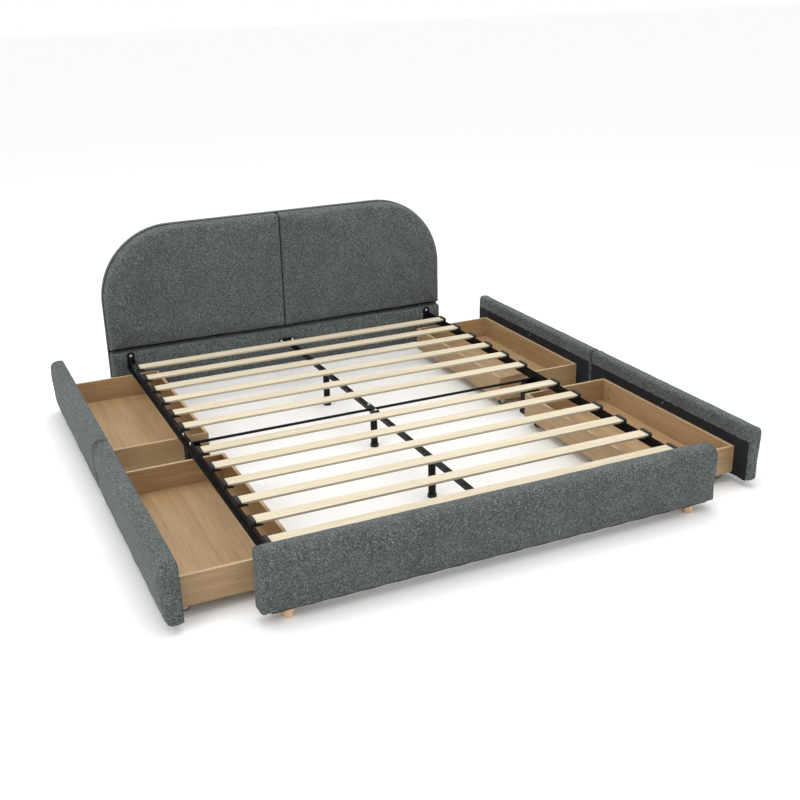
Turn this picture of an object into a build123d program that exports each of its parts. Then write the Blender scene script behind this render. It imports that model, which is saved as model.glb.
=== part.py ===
"""Queen size platform bed: upholstered headboard and footboard, bolted steel frame with
wooden slats, and four upholstered storage drawers that roll out on small fixed casters.

Millimetres. X is the width, +Y points to the headboard, +Z is up. The origin is on the floor
under the middle of the bed. The drawers are modelled pulled out by drawer_pull.
"""
from build123d import *
import os

os.makedirs("parts", exist_ok=True)

# ---------------------------------------------------------------- overall sizes
mattress_width = 1524
mattress_length = 2032
mattress_play = 8           # free length between the mattress and the two ends
headboard_overhang = 76     # headboard and footboard beyond the mattress, each side
headboard_height = 770
footboard_top = 252
slat_top = 199              # height of the surface that carries the mattress

# ---------------------------------------------------------------- headboard
headboard_corner = 330      # radius of the two upper corners
board_thickness = 30
back_skin = 2
edge_skin = 4               # padded fabric round the edge of the headboard's board
cushion_depth = 63
cushion_edge = 22           # rounding of a cushion's front edges
cushion_seam = 222          # height of the cushions' lower edge
seam_gap = 3
lower_panel_recess = 5

# ---------------------------------------------------------------- footboard
footboard_depth = 84        # at its fullest
footboard_base_depth = 68
footboard_core_thickness = 24
footboard_core_top = 190
footboard_round = 34        # rounding of the footboard's ends

# ---------------------------------------------------------------- feet
foot_height = 34
foot_radius = 20.5
foot_inset = 93             # foot's centre from the side of the bed
foot_taper = 2.5
headboard_foot_setback = 30 # foot's centre from the headboard's back

# ---------------------------------------------------------------- steel frame
rail_height = 40
rail_lip = 13               # foot of the rail, turned outwards along its lower edge
steel = 2.5
joint_plate_length = 180
joint_plate_thickness = 3
splice_length = 104         # plate over the joint of the centre beam
splice_overhang = 2         # splice plate beyond the beam, each side
beam_size = 18
beam_drop = 28              # top of the centre beam below the top of the rails
beam_wall = 2
beam_joint_gap = 1
cross_tube_size = 9
centre_leg_radius = 14
centre_leg_pitch = 523      # distance between the legs under the centre beam
centre_leg_shift = -12      # middle leg's centre from the frame's joint
rail_leg_length = 66        # along the bed
rail_leg_width = 56
rail_leg_inset = 5          # leg's outer face in from the edge of the rail's foot
leg_cap_height = 12
leg_cap_wall = 3
leg_wall = 2
bracket_width = 34
bracket_top = 216
bracket_thickness = 3
bracket_tab = 46
bracket_inset = 11          # bracket's middle in from the rail's web
beam_bracket_width = 80
beam_bracket_rise = 7       # above the top of the beam
beam_bracket_bolt_inset = 12
bolt_head_radius = 7
bolt_head_height = 4
bolt_radius = 3
bolt_clearance = 0.3
rail_bolt_spacing = 102
rail_bolt_drop = 12         # below the top of the rail
beam_bolt_spacing = 69

# ---------------------------------------------------------------- slats
slat_width = 53
slat_thickness = 9
slat_foot_margin = 86       # last slat's middle from the footboard
slats_per_half = 6
slat_middle_pitch = 258     # between the two slats next to the frame's joint
slat_middle_shift = -37     # the point between those two slats, from the frame's joint
slat_end_inset = 10         # slat's end from the mattress's side
cap_height = 3              # cap above the slat
cap_lip = 3.5
cap_lip_length = 18
cap_lip_height = 6
cap_shelf_length = 22       # shelf under the slat's end
cap_shelf_thickness = 6
cap_skirt = 14              # how far the cap hangs down outside the rail
cap_skirt_width = 40
cap_skirt_thickness = 4

# ---------------------------------------------------------------- drawers
drawer_pull = 270           # how far each drawer stands open
front_base = 24
front_top = 244
front_depth = 66            # at its fullest
front_base_depth = 50
front_round = 28            # rounding of the front's ends
overcut = 1.5               # rounded end cutters stand this far outside the padded section
front_close_gap = 4         # front's inner face to the rail when the drawer is shut
front_end_gap = 9           # front to headboard or footboard
front_mid_gap = 7           # between the two fronts of one side
front_core_thickness = 15
front_core_inset = 12
lining_thickness = 1
lining_margin = 9
lining_top = 181
box_end_margin = 91.25      # the box is this much shorter than its front, each end
box_depth = 396
box_floor = 38              # underside of the box above the floor
box_height = 104
box_shift = 11              # box's centre from its front's centre, away from the bed's middle
board = 12
bottom_board = 9

# ---------------------------------------------------------------- casters
wheel_radius = 15
wheel_width = 14
wheel_bore_clearance = 0.08
hub_radius = 8
hub_recess = 1.5
axle_radius = 2
cheek_gap = 1
cheek_thickness = 2
cheek_length = 18
caster_plate = 2
caster_plate_length = 44
caster_plate_width = 26
caster_inset_front = 30     # wheel's centre from the front end of the box
caster_inset_back = 38
caster_inset_side = 45

# ---------------------------------------------------------------- places worked out from them
headboard_depth = back_skin + board_thickness + cushion_depth
inner_length = mattress_length + mattress_play
total_length = headboard_depth + inner_length + footboard_depth
bed_width = mattress_width + 2 * headboard_overhang
half_width = bed_width / 2
back_y = total_length / 2
board_back_y = back_y - back_skin
board_face_y = board_back_y - board_thickness
head_face_y = board_face_y - cushion_depth
foot_face_y = -total_length / 2 + footboard_depth
lower_panel_y = head_face_y + lower_panel_recess

frame_top = slat_top - slat_thickness
web_outer_x = mattress_width / 2
web_inner_x = web_outer_x - steel
plate_inner_x = web_inner_x - joint_plate_thickness
rail_outer_x = web_outer_x + rail_lip
joint_y = (head_face_y + foot_face_y) / 2
rail_bottom = frame_top - rail_height
rail_bolt_z = frame_top - rail_bolt_drop
leg_outer_x = rail_outer_x - rail_leg_inset
leg_inner_x = leg_outer_x - rail_leg_width
beam_top = frame_top - beam_drop
beam_bottom = beam_top - beam_size
bracket_x = web_outer_x - bracket_inset
beam_bracket_top = beam_top + beam_bracket_rise
beam_bracket_bottom = beam_bottom - bracket_thickness
beam_bracket_bolt_x = beam_bracket_width / 2 - beam_bracket_bolt_inset

front_inner_x = rail_outer_x + front_close_gap + drawer_pull
lining_inner_x = front_inner_x - lining_thickness
box_back_x = lining_inner_x - box_depth
box_top = box_floor + box_height
front_length = (inner_length - 2 * front_end_gap - front_mid_gap) / 2
box_length = front_length - 2 * box_end_margin
foot_front_y = foot_face_y + front_end_gap + front_length / 2
head_front_y = head_face_y - front_end_gap - front_length / 2

drawers = [
    ("left_head", -1, head_front_y, 1),
    ("left_foot", -1, foot_front_y, -1),
    ("right_head", 1, head_front_y, 1),
    ("right_foot", 1, foot_front_y, -1),
]


def write(builder, name):
    """Label a finished piece and write its STEP file."""
    builder.part.label = name
    export_step(builder.part, f"parts/{name}.step")


def across(y):
    """Plane facing the foot of the bed at y, with X to the right and Z up."""
    return Plane.XZ.offset(-y)


def block(low, high, mode=Mode.ADD):
    """Box between two corners, inside the current part."""
    centre = [(a + b) / 2 for a, b in zip(low, high)]
    size = [abs(b - a) for a, b in zip(low, high)]
    with Locations(tuple(centre)):
        Box(*size, mode=mode)


def padded_profile(base, top, base_depth, full_depth):
    """Section of a padded panel: flat inner side, full outer side that draws in at its base."""
    outer_round = 0.55 * full_depth
    inner_round = 0.3 * full_depth
    fullest = top - outer_round
    middle = (base + fullest) / 2
    with BuildLine() as outline:
        Line((0, top - inner_round), (0, base))
        Line((0, base), (base_depth, base))
        ThreePointArc((base_depth, base), (base_depth + 0.72 * (full_depth - base_depth), middle),
                      (full_depth, fullest))
        Line((full_depth - outer_round, top), (inner_round, top))
        RadiusArc((full_depth, fullest), (full_depth - outer_round, top), -outer_round)
        RadiusArc((inner_round, top), (0, top - inner_round), -inner_round)
    make_face(outline.edges())


def headboard_outline(inset=0):
    """Front view of the headboard: square at the floor end, with large upper corners."""
    outline_top = headboard_height - inset
    with Locations((0, (foot_height + outline_top) / 2)):
        sheet = Rectangle(bed_width - 2 * inset, outline_top - foot_height)
    fillet(sheet.vertices().group_by(Axis.Y)[-1], headboard_corner - inset)


# ================================================================ headboard
with BuildPart() as headboard_board:
    with BuildSketch(across(board_back_y)):
        headboard_outline(edge_skin)
    extrude(amount=board_thickness)
write(headboard_board, "headboard_board")

with BuildPart() as headboard_cover:
    with BuildSketch(across(back_y)):
        headboard_outline()
    extrude(amount=back_skin + board_thickness)
    with BuildSketch(across(board_back_y)):
        headboard_outline(edge_skin)
    extrude(amount=board_thickness, mode=Mode.SUBTRACT)
write(headboard_cover, "headboard_cover")

for side_name, side in [("left", -1), ("right", 1)]:
    with BuildPart() as headboard_cushion:
        with BuildSketch(across(board_face_y)):
            headboard_outline()
            with Locations((side * half_width / 2, (cushion_seam + headboard_height) / 2)):
                Rectangle(half_width, headboard_height - cushion_seam, mode=Mode.INTERSECT)
        extrude(amount=cushion_depth)
        fillet(headboard_cushion.faces().sort_by(Axis.Y)[0].edges(), cushion_edge)
    write(headboard_cushion, f"headboard_cushion_{side_name}")

with BuildPart() as headboard_lower_panel:
    block((-half_width, lower_panel_y, foot_height),
          (half_width, board_face_y, cushion_seam - seam_gap))
    front_edges = headboard_lower_panel.faces().sort_by(Axis.Y)[0].edges()
    fillet(front_edges.filter_by(Axis.Z), cushion_edge)
write(headboard_lower_panel, "headboard_lower_panel")

# ================================================================ footboard
core_low_y = foot_face_y - footboard_base_depth / 2 - footboard_core_thickness / 2
core_high_y = core_low_y + footboard_core_thickness
core_half_length = half_width - foot_inset / 2

with BuildPart() as footboard_cover:
    profile_plane = Plane((0, foot_face_y, 0), x_dir=(0, -1, 0), z_dir=(-1, 0, 0))
    with BuildSketch(profile_plane):
        padded_profile(foot_height, footboard_top, footboard_base_depth, footboard_depth)
    extrude(amount=half_width, both=True)
    with BuildSketch(Plane.XY.offset(foot_height)):
        with Locations((0, foot_face_y - footboard_depth / 2)):
            plan = Rectangle(bed_width, footboard_depth + 2 * overcut)
        fillet(plan.vertices().group_by(Axis.Y)[0], footboard_round)
    extrude(amount=footboard_top - foot_height, mode=Mode.INTERSECT)
    with BuildSketch(across(foot_face_y)):
        with Locations((0, (foot_height + footboard_top) / 2)):
            RectangleRounded(bed_width, footboard_top - foot_height + 2 * overcut, footboard_round)
    extrude(amount=2 * footboard_depth, both=True, mode=Mode.INTERSECT)
    block((-core_half_length, core_low_y, foot_height),
          (core_half_length, core_high_y, footboard_core_top), mode=Mode.SUBTRACT)
write(footboard_cover, "footboard_cover")

with BuildPart() as footboard_core:
    block((-core_half_length, core_low_y, foot_height),
          (core_half_length, core_high_y, footboard_core_top))
write(footboard_core, "footboard_core")

# ================================================================ wooden feet
foot_x = half_width - foot_inset
feet_y = [(core_low_y + core_high_y) / 2, back_y - headboard_foot_setback]

with BuildPart() as wooden_feet:
    foot_places = [(sx * foot_x, y, foot_height / 2) for sx in (-1, 1) for y in feet_y]
    with Locations(*foot_places):
        Cone(foot_radius - foot_taper, foot_radius, foot_height)
write(wooden_feet, "wooden_feet")

# ================================================================ steel frame
head_rail_end = lower_panel_y - bracket_thickness
foot_rail_end = foot_face_y + bracket_thickness


def rail(side, y_low, y_high):
    """Half of a side rail: upright web and a foot turned outwards along its lower edge."""
    block((side * web_inner_x, y_low, rail_bottom), (side * web_outer_x, y_high, frame_top))
    block((side * web_outer_x, y_low, rail_bottom),
          (side * rail_outer_x, y_high, rail_bottom + steel))


def rail_bolt_holes():
    """Level clearance holes across the bed, through the rails and their joint plates."""
    with Locations(*[(0, y, rail_bolt_z) for y in rail_bolt_y]):
        Cylinder(bolt_radius + bolt_clearance, 2 * rail_outer_x, rotation=(0, 90, 0),
                 mode=Mode.SUBTRACT)


def beam_bolt_holes():
    """Upright clearance holes through the splice plate and the upper wall of the beam."""
    with Locations(*[(0, y, beam_top) for y in beam_bolt_y]):
        Cylinder(bolt_radius + bolt_clearance, 2 * splice_reach, mode=Mode.SUBTRACT)


rail_bolt_y = [joint_y + step * rail_bolt_spacing / 2 for step in (-1, 1)]
beam_bolt_y = [joint_y + step * beam_bolt_spacing / 2 for step in (-1, 1)]
splice_reach = beam_wall + joint_plate_thickness

with BuildPart() as rails_head:
    for side in (-1, 1):
        rail(side, joint_y, head_rail_end)
    rail_bolt_holes()
write(rails_head, "rails_head")

with BuildPart() as rails_foot:
    for side in (-1, 1):
        rail(side, foot_rail_end, joint_y)
    rail_bolt_holes()
write(rails_foot, "rails_foot")

# Flat plates that join the halves: one inside each rail's web, one on the centre beam.
with BuildPart() as joint_plates:
    with Locations((0, joint_y, beam_top + joint_plate_thickness / 2)):
        Box(beam_size + 2 * splice_overhang, splice_length, joint_plate_thickness)
    fillet(joint_plates.edges().filter_by(Axis.Z), 5)
    for side in (-1, 1):
        block((side * plate_inner_x, joint_y - joint_plate_length / 2, rail_bottom),
              (side * web_inner_x, joint_y + joint_plate_length / 2,
               frame_top - cap_shelf_thickness))
    rail_bolt_holes()
    beam_bolt_holes()
write(joint_plates, "joint_plates")

# Centre beam: two square tubes, end to end at the frame's joint under a splice plate.
with BuildPart() as centre_beams:
    for y_low, y_high in [(foot_rail_end, joint_y - beam_joint_gap / 2),
                          (joint_y + beam_joint_gap / 2, head_rail_end)]:
        block((-beam_size / 2, y_low, beam_bottom), (beam_size / 2, y_high, beam_top))
        block((-beam_size / 2 + beam_wall, y_low, beam_bottom + beam_wall),
              (beam_size / 2 - beam_wall, y_high, beam_top - beam_wall), mode=Mode.SUBTRACT)
    with Locations(*[(0, y, beam_top) for y in beam_bolt_y]):
        Cylinder(bolt_radius + bolt_clearance, 2 * beam_wall, mode=Mode.SUBTRACT)
write(centre_beams, "centre_beams")

# Cross tubes tie the centre beam to the rails' joint plates.
with BuildPart() as cross_tubes:
    for side in (-1, 1):
        block((side * beam_size / 2, joint_y - cross_tube_size / 2, beam_top - cross_tube_size),
              (side * plate_inner_x, joint_y + cross_tube_size / 2, beam_top))
    fillet(cross_tubes.edges().filter_by(Axis.X), 1)
write(cross_tubes, "cross_tubes")

with BuildPart() as rail_legs:
    for side in (-1, 1):
        block((side * leg_inner_x, joint_y - rail_leg_length / 2, leg_cap_wall),
              (side * leg_outer_x, joint_y + rail_leg_length / 2, rail_bottom))
    fillet(rail_legs.edges().filter_by(Axis.Z), 3)
    for side in (-1, 1):
        block((side * (leg_inner_x + leg_wall), joint_y - rail_leg_length / 2 + leg_wall, leg_cap_wall),
              (side * (leg_outer_x - leg_wall), joint_y + rail_leg_length / 2 - leg_wall,
               rail_bottom), mode=Mode.SUBTRACT)
write(rail_legs, "rail_legs")

middle_leg_y = joint_y + centre_leg_shift
centre_leg_places = [(0, middle_leg_y + step * centre_leg_pitch) for step in (-1, 0, 1)]

with BuildPart() as centre_legs:
    with BuildSketch(Plane.XY.offset(leg_cap_wall)):
        with Locations(*centre_leg_places):
            Circle(centre_leg_radius)
            Circle(centre_leg_radius - leg_wall, mode=Mode.SUBTRACT)
    extrude(amount=beam_bottom - leg_cap_wall)
write(centre_legs, "centre_legs")

# Plastic caps: a pocket leg_cap_wall above the floor takes the end of each steel leg.
with BuildPart() as leg_caps:
    with BuildSketch():
        with Locations(*centre_leg_places):
            Circle(centre_leg_radius + leg_cap_wall)
        with Locations(*[(side * (leg_inner_x + leg_outer_x) / 2, joint_y) for side in (-1, 1)]):
            RectangleRounded(rail_leg_width + 2 * leg_cap_wall,
                             rail_leg_length + 2 * leg_cap_wall, 3 + leg_cap_wall)
    extrude(amount=leg_cap_height)
    with BuildSketch(Plane.XY.offset(leg_cap_wall)):
        with Locations(*centre_leg_places):
            Circle(centre_leg_radius)
        with Locations(*[(side * (leg_inner_x + leg_outer_x) / 2, joint_y) for side in (-1, 1)]):
            RectangleRounded(rail_leg_width, rail_leg_length, 3)
    extrude(amount=leg_cap_height, mode=Mode.SUBTRACT)
write(leg_caps, "leg_caps")

# Brackets on the headboard and the footboard: (wall's y, direction away from the wall).
bracket_walls = [(lower_panel_y, -1), (foot_face_y, 1)]
bracket_bolts = [(side * x, z) for side in (-1, 1) for x, z in [
    (bracket_x, bracket_top - bracket_width / 2),
    (beam_bracket_bolt_x, beam_bracket_top - beam_bracket_bolt_inset)]]

with BuildPart() as frame_brackets:
    for wall_y, away in bracket_walls:
        face_y = wall_y + away * bracket_thickness
        with BuildSketch(across((wall_y + face_y) / 2)):
            for side in (-1, 1):
                with Locations((side * bracket_x, (rail_bottom + bracket_top) / 2)):
                    Rectangle(bracket_width, bracket_top - rail_bottom)
            with Locations((0, (beam_bracket_bottom + beam_bracket_top) / 2)):
                Rectangle(beam_bracket_width, beam_bracket_top - beam_bracket_bottom)
        extrude(amount=bracket_thickness / 2, both=True)
    fillet(frame_brackets.faces().filter_by(Axis.Z).group_by(Axis.Z)[-1].edges()
           .filter_by(Axis.Y), bracket_width / 2 - 1)
    for wall_y, away in bracket_walls:
        face_y = wall_y + away * bracket_thickness
        tab_y = face_y + away * bracket_tab
        for side in (-1, 1):
            block((side * web_inner_x, face_y, rail_bottom),
                  (side * (web_inner_x - bracket_thickness), tab_y, frame_top - steel))
        block((-beam_size / 2, face_y, beam_bracket_bottom),
              (beam_size / 2, tab_y, beam_bottom))
        with Locations(*[(x, wall_y, z) for x, z in bracket_bolts]):
            Cylinder(bolt_radius + bolt_clearance, 4 * bracket_thickness, rotation=(90, 0, 0),
                     mode=Mode.SUBTRACT)
write(frame_brackets, "frame_brackets")

# Bolts: a domed head on the plate, a plain shank in its holes.
with BuildPart() as bolts:
    splice_top = beam_top + joint_plate_thickness
    with Locations(*[(0, y, splice_top + bolt_head_height / 2) for y in beam_bolt_y]):
        Cylinder(bolt_head_radius, bolt_head_height)
    with Locations(*[(0, y, splice_top - splice_reach / 2) for y in beam_bolt_y]):
        Cylinder(bolt_radius, splice_reach)
    for side in (-1, 1):
        with Locations(*[(side * (web_outer_x + bolt_head_height / 2), y, rail_bolt_z)
                         for y in rail_bolt_y]):
            Cylinder(bolt_head_radius, bolt_head_height, rotation=(0, 90, 0))
        with Locations(*[(side * (web_outer_x + plate_inner_x) / 2, y, rail_bolt_z)
                         for y in rail_bolt_y]):
            Cylinder(bolt_radius, web_outer_x - plate_inner_x, rotation=(0, 90, 0))
    for wall_y, away in bracket_walls:
        seat = wall_y + away * bracket_thickness
        with Locations(*[(x, seat + away * bolt_head_height / 2, z) for x, z in bracket_bolts]):
            Cylinder(bolt_head_radius, bolt_head_height, rotation=(90, 0, 0))
        with Locations(*[(x, (seat + wall_y) / 2, z) for x, z in bracket_bolts]):
            Cylinder(bolt_radius, bracket_thickness, rotation=(90, 0, 0))
write(bolts, "bolts")

# ================================================================ slats
slat_end_x = mattress_width / 2 - slat_end_inset
slat_middle_y = joint_y + slat_middle_shift
slat_pitch = ((slat_middle_y - foot_face_y - slat_foot_margin - slat_middle_pitch / 2)
              / (slats_per_half - 1))
slat_rows = [slat_middle_y + half * (slat_middle_pitch / 2 + step * slat_pitch)
             for half in (-1, 1) for step in range(slats_per_half)]

with BuildPart() as slats:
    with Locations(*[(0, y, frame_top + slat_thickness / 2) for y in slat_rows]):
        Box(2 * slat_end_x, slat_width, slat_thickness)
    fillet(slats.edges().filter_by(Axis.X), 2)
write(slats, "slats")

# Each cap is a block on the rail behind the slat's end, with a shelf under the slat, two lips
# along its sides and a skirt hanging down outside the rail.
cap_outer_x = web_outer_x + cap_skirt_thickness

with BuildPart() as slat_caps:
    for side in (-1, 1):
        for y in slat_rows:
            block((side * slat_end_x, y - slat_width / 2 - cap_lip, frame_top),
                  (side * cap_outer_x, y + slat_width / 2 + cap_lip, slat_top + cap_height))
    fillet(slat_caps.faces().filter_by(Axis.Z).group_by(Axis.Z)[-1].edges()
           .filter_by(Axis.X), 7)
    for side in (-1, 1):
        for y in slat_rows:
            block((side * (slat_end_x - cap_shelf_length), y - slat_width / 2 - cap_lip,
                   frame_top - cap_shelf_thickness),
                  (side * web_inner_x, y + slat_width / 2 + cap_lip, frame_top))
            block((side * web_outer_x, y - cap_skirt_width / 2, frame_top - cap_skirt),
                  (side * cap_outer_x, y + cap_skirt_width / 2, frame_top))
            for edge in (-1, 1):
                block((side * slat_end_x, y + edge * slat_width / 2, frame_top),
                      (side * (slat_end_x - cap_lip_length),
                       y + edge * (slat_width / 2 + cap_lip), frame_top + cap_lip_height))
write(slat_caps, "slat_caps")

# ================================================================ drawers
def write_front(name, side, centre_y):
    """Padded front panel, the board inside it and the lining on its inner face."""
    front_outer_x = front_inner_x + front_depth
    core_top = lining_top - front_core_inset / 2
    core_low = (side * front_inner_x, centre_y - front_length / 2 + front_core_inset,
                front_base + front_core_inset)
    core_high = (side * (front_inner_x + front_core_thickness),
                 centre_y + front_length / 2 - front_core_inset, core_top)

    with BuildPart() as front_cover:
        section_plane = Plane((side * front_inner_x, centre_y, 0),
                              x_dir=(side, 0, 0), z_dir=(0, -side, 0))
        with BuildSketch(section_plane):
            padded_profile(front_base, front_top, front_base_depth, front_depth)
        extrude(amount=front_length / 2, both=True)
        with BuildSketch(Plane.XY.offset(front_base)):
            with Locations((side * (front_inner_x + front_depth / 2), centre_y)):
                plan = Rectangle(front_depth + 2 * overcut, front_length)
            outer_corners = plan.vertices().sort_by(Axis.X)
            fillet(outer_corners[-2:] if side > 0 else outer_corners[:2], front_round)
        extrude(amount=front_top - front_base, mode=Mode.INTERSECT)
        with BuildSketch(Plane.YZ.offset(side * (front_inner_x + front_depth / 2))):
            with Locations((centre_y, (front_base + front_top) / 2)):
                RectangleRounded(front_length, front_top - front_base + 2 * overcut, front_round)
        extrude(amount=front_depth, both=True, mode=Mode.INTERSECT)
        block(core_low, core_high, mode=Mode.SUBTRACT)
    write(front_cover, f"drawer_{name}_front")

    with BuildPart() as front_core:
        block(core_low, core_high)
    write(front_core, f"drawer_{name}_front_core")

    with BuildPart() as lining:
        block((side * lining_inner_x, centre_y - front_length / 2 + lining_margin,
               front_base + lining_margin / 2),
              (side * front_inner_x, centre_y + front_length / 2 - lining_margin, lining_top))
    write(lining, f"drawer_{name}_lining")


def write_box(name, side, centre_y):
    """Open box of four laminated boards round a bottom board."""
    y_low = centre_y - box_length / 2
    y_high = centre_y + box_length / 2
    with BuildPart() as box_front:
        block((side * (lining_inner_x - board), y_low, box_floor),
              (side * lining_inner_x, y_high, box_top))
    write(box_front, f"drawer_{name}_box_front")

    with BuildPart() as box_back:
        block((side * box_back_x, y_low, box_floor),
              (side * (box_back_x + board), y_high, box_top))
    write(box_back, f"drawer_{name}_box_back")

    with BuildPart() as box_sides:
        for end_y, inward in [(y_low, 1), (y_high, -1)]:
            block((side * (box_back_x + board), end_y, box_floor),
                  (side * (lining_inner_x - board), end_y + inward * board, box_top))
    write(box_sides, f"drawer_{name}_box_sides")

    with BuildPart() as box_bottom:
        block((side * (box_back_x + board), y_low + board, box_floor),
              (side * (lining_inner_x - board), y_high - board, box_floor + bottom_board))
    write(box_bottom, f"drawer_{name}_box_bottom")


def write_casters(name, side, centre_y):
    """Four fixed casters under the box; the two wheels on one line turn together."""
    front_wheel_x = side * (lining_inner_x - caster_inset_front)
    back_wheel_x = side * (box_back_x + caster_inset_back)
    wheel_ys = [centre_y + end * (box_length / 2 - caster_inset_side) for end in (-1, 1)]
    places = [(x, y) for x in (front_wheel_x, back_wheel_x) for y in wheel_ys]
    cheek_y = wheel_width / 2 + cheek_gap + cheek_thickness / 2
    cheek_low = wheel_radius - cheek_length / 3
    fork_top = box_floor - caster_plate

    with BuildPart() as casters:
        with Locations(*[(x, y, box_floor - caster_plate / 2) for x, y in places]):
            Box(caster_plate_width, caster_plate_length, caster_plate)
        fillet(casters.edges().filter_by(Axis.Z), 4)
        with Locations(*[(x, y + end * cheek_y, (cheek_low + fork_top) / 2)
                         for x, y in places for end in (-1, 1)]):
            Box(cheek_length, cheek_thickness, fork_top - cheek_low)
        with Locations(*[(x, y, wheel_radius) for x, y in places]):
            Cylinder(axle_radius, 2 * cheek_y + cheek_thickness, rotation=(90, 0, 0))
    write(casters, f"drawer_{name}_casters")

    for row_name, wheel_x in [("front", front_wheel_x), ("back", back_wheel_x)]:
        with BuildPart() as wheels:
            with Locations(*[(wheel_x, y, wheel_radius) for y in wheel_ys]):
                Cylinder(wheel_radius, wheel_width, rotation=(90, 0, 0))
            fillet(wheels.edges(), 2)
            hub_face = wheel_width / 2 - hub_recess / 2
            with Locations(*[(wheel_x, y + end * hub_face, wheel_radius)
                             for y in wheel_ys for end in (-1, 1)]):
                Cylinder(hub_radius, hub_recess, rotation=(90, 0, 0), mode=Mode.SUBTRACT)
            with Locations(*[(wheel_x, y, wheel_radius) for y in wheel_ys]):
                Cylinder(axle_radius + wheel_bore_clearance, 2 * wheel_width,
                         rotation=(90, 0, 0), mode=Mode.SUBTRACT)
        write(wheels, f"drawer_{name}_wheels_{row_name}")


for drawer_name, drawer_side, front_y, bed_end in drawers:
    write_front(drawer_name, drawer_side, front_y)
    write_box(drawer_name, drawer_side, front_y + bed_end * box_shift)
    write_casters(drawer_name, drawer_side, front_y + bed_end * box_shift)
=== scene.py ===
import math

import bmesh
import bpy
import numpy as np
from mathutils import Matrix, Vector, noise


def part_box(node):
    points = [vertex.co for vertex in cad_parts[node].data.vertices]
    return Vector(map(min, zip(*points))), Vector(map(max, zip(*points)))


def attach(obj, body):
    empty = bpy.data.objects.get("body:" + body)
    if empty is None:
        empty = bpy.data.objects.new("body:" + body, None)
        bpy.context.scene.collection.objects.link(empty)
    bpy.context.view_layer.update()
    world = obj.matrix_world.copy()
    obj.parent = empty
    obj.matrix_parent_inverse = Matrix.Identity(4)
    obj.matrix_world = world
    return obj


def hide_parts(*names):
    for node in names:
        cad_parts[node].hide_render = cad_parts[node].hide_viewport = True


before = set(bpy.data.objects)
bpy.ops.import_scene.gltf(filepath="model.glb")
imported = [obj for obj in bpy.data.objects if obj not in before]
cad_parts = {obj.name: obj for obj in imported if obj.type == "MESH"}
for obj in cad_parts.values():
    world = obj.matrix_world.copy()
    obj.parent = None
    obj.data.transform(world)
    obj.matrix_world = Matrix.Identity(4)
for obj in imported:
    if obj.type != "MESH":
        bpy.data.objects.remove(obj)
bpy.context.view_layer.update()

# ---------------------------------------------------------------- sizes, in metres
VOXEL = 0.008               # remesh size of the upholstered pieces
SIM_FRAMES = 16
PRESSURE = 4.0
COVER_THICKNESS = 0.0016    # upholstery cloth with its thin wadding
LINING_THICKNESS = 0.0008
HEADBOARD_CORNER = 0.330
CUSHION_EDGE = 0.022
SEAM_DEPTH = 0.0022
SEAM_HALF_WIDTH = 0.0035
STITCH_LENGTH = 0.0042
STITCH_PITCH = 0.0066
STITCH_RADIUS = 0.0006
STITCH_OFFSET = 0.006       # row of stitches from its seam
BOLT_RADIUS = 0.007
BOLT_HEIGHT = 0.004
SCREW_RADIUS = 0.0035
CAP_RISE = 0.003            # crown of a slat cap above its seat for the slat
CAP_LIP = (0.018, 0.006)    # length and height of the lips along the slat
CAP_SHELF = 0.006           # thickness of the shelf under the slat
CAP_SKIRT_WIDTH = 0.040
CAP_SKIRT_THICKNESS = 0.004
STEEL = 0.0025              # the rail's sheet steel
END_ROUND = 0.012           # rounding where a padded bar's face turns into its end
END_STEPS = 5               # rings in that rounding
BAR_TAPER = 0.016           # how much thinner a padded bar is at its base
DUST_INSET = 0.014          # dust cover's edge from the footboard's edge
WASHER = 0.0008             # thickness under a bolt head
SCREW_INSET = 0.058         # drawer screws from the end of the box front
SCREW_HEIGHTS = (0.30, 0.74)    # as shares of the box front's height
TACK_DROP = 0.014           # tack below the lining's top edge
STEEL_EDGE = 0.0006         # rounding of the sheet steel's edges
BOARD_EDGE = 0.0007         # rounding of the drawer boards' edges
CASTER_EDGE = 0.0003
HUB_RADIUS = 0.0105         # pale middle of a drawer's wheel

DRAWERS = ("left_head", "left_foot", "right_head", "right_foot")


def drawer_side(name):
    """+1 for a drawer on the right of the bed, -1 on the left."""
    return 1 if name.startswith("right") else -1


# ---------------------------------------------------------------- materials
def add(tree, kind, inputs=None, **settings):
    """New shader node with its settings, and its inputs set or linked."""
    item = tree.nodes.new("ShaderNode" + kind)
    for name, value in settings.items():
        setattr(item, name, value)
    for socket, value in (inputs or {}).items():
        if isinstance(value, bpy.types.NodeSocket):
            tree.links.new(value, item.inputs[socket])
        else:
            item.inputs[socket].default_value = value
    return item


def new_material(name, roughness, metallic=0.0, specular=0.5):
    """Material with a Principled shader: returns (material, node tree, shader)."""
    made = bpy.data.materials.new(name)
    made.use_nodes = True
    shader = made.node_tree.nodes["Principled BSDF"]
    shader.inputs["Roughness"].default_value = roughness
    shader.inputs["Metallic"].default_value = metallic
    shader.inputs["Specular IOR Level"].default_value = specular
    return made, made.node_tree, shader


def mapped(tree, scale=(1, 1, 1), turn=(0, 0, 0)):
    """Object coordinates, scaled and turned."""
    place = add(tree, "TexCoord").outputs["Object"]
    return add(tree, "Mapping", {"Vector": place, "Scale": scale, "Rotation": turn}).outputs[0]


def ramp(tree, factor, stops):
    """Colour ramp through (position, colour) stops."""
    item = add(tree, "ValToRGB", {"Fac": factor})
    elements = item.color_ramp.elements
    while len(elements) < len(stops):
        elements.new(0.5)
    for element, (position, colour) in zip(elements, stops):
        element.position = position
        element.color = (*colour, 1)
    return item.outputs["Color"]


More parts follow.
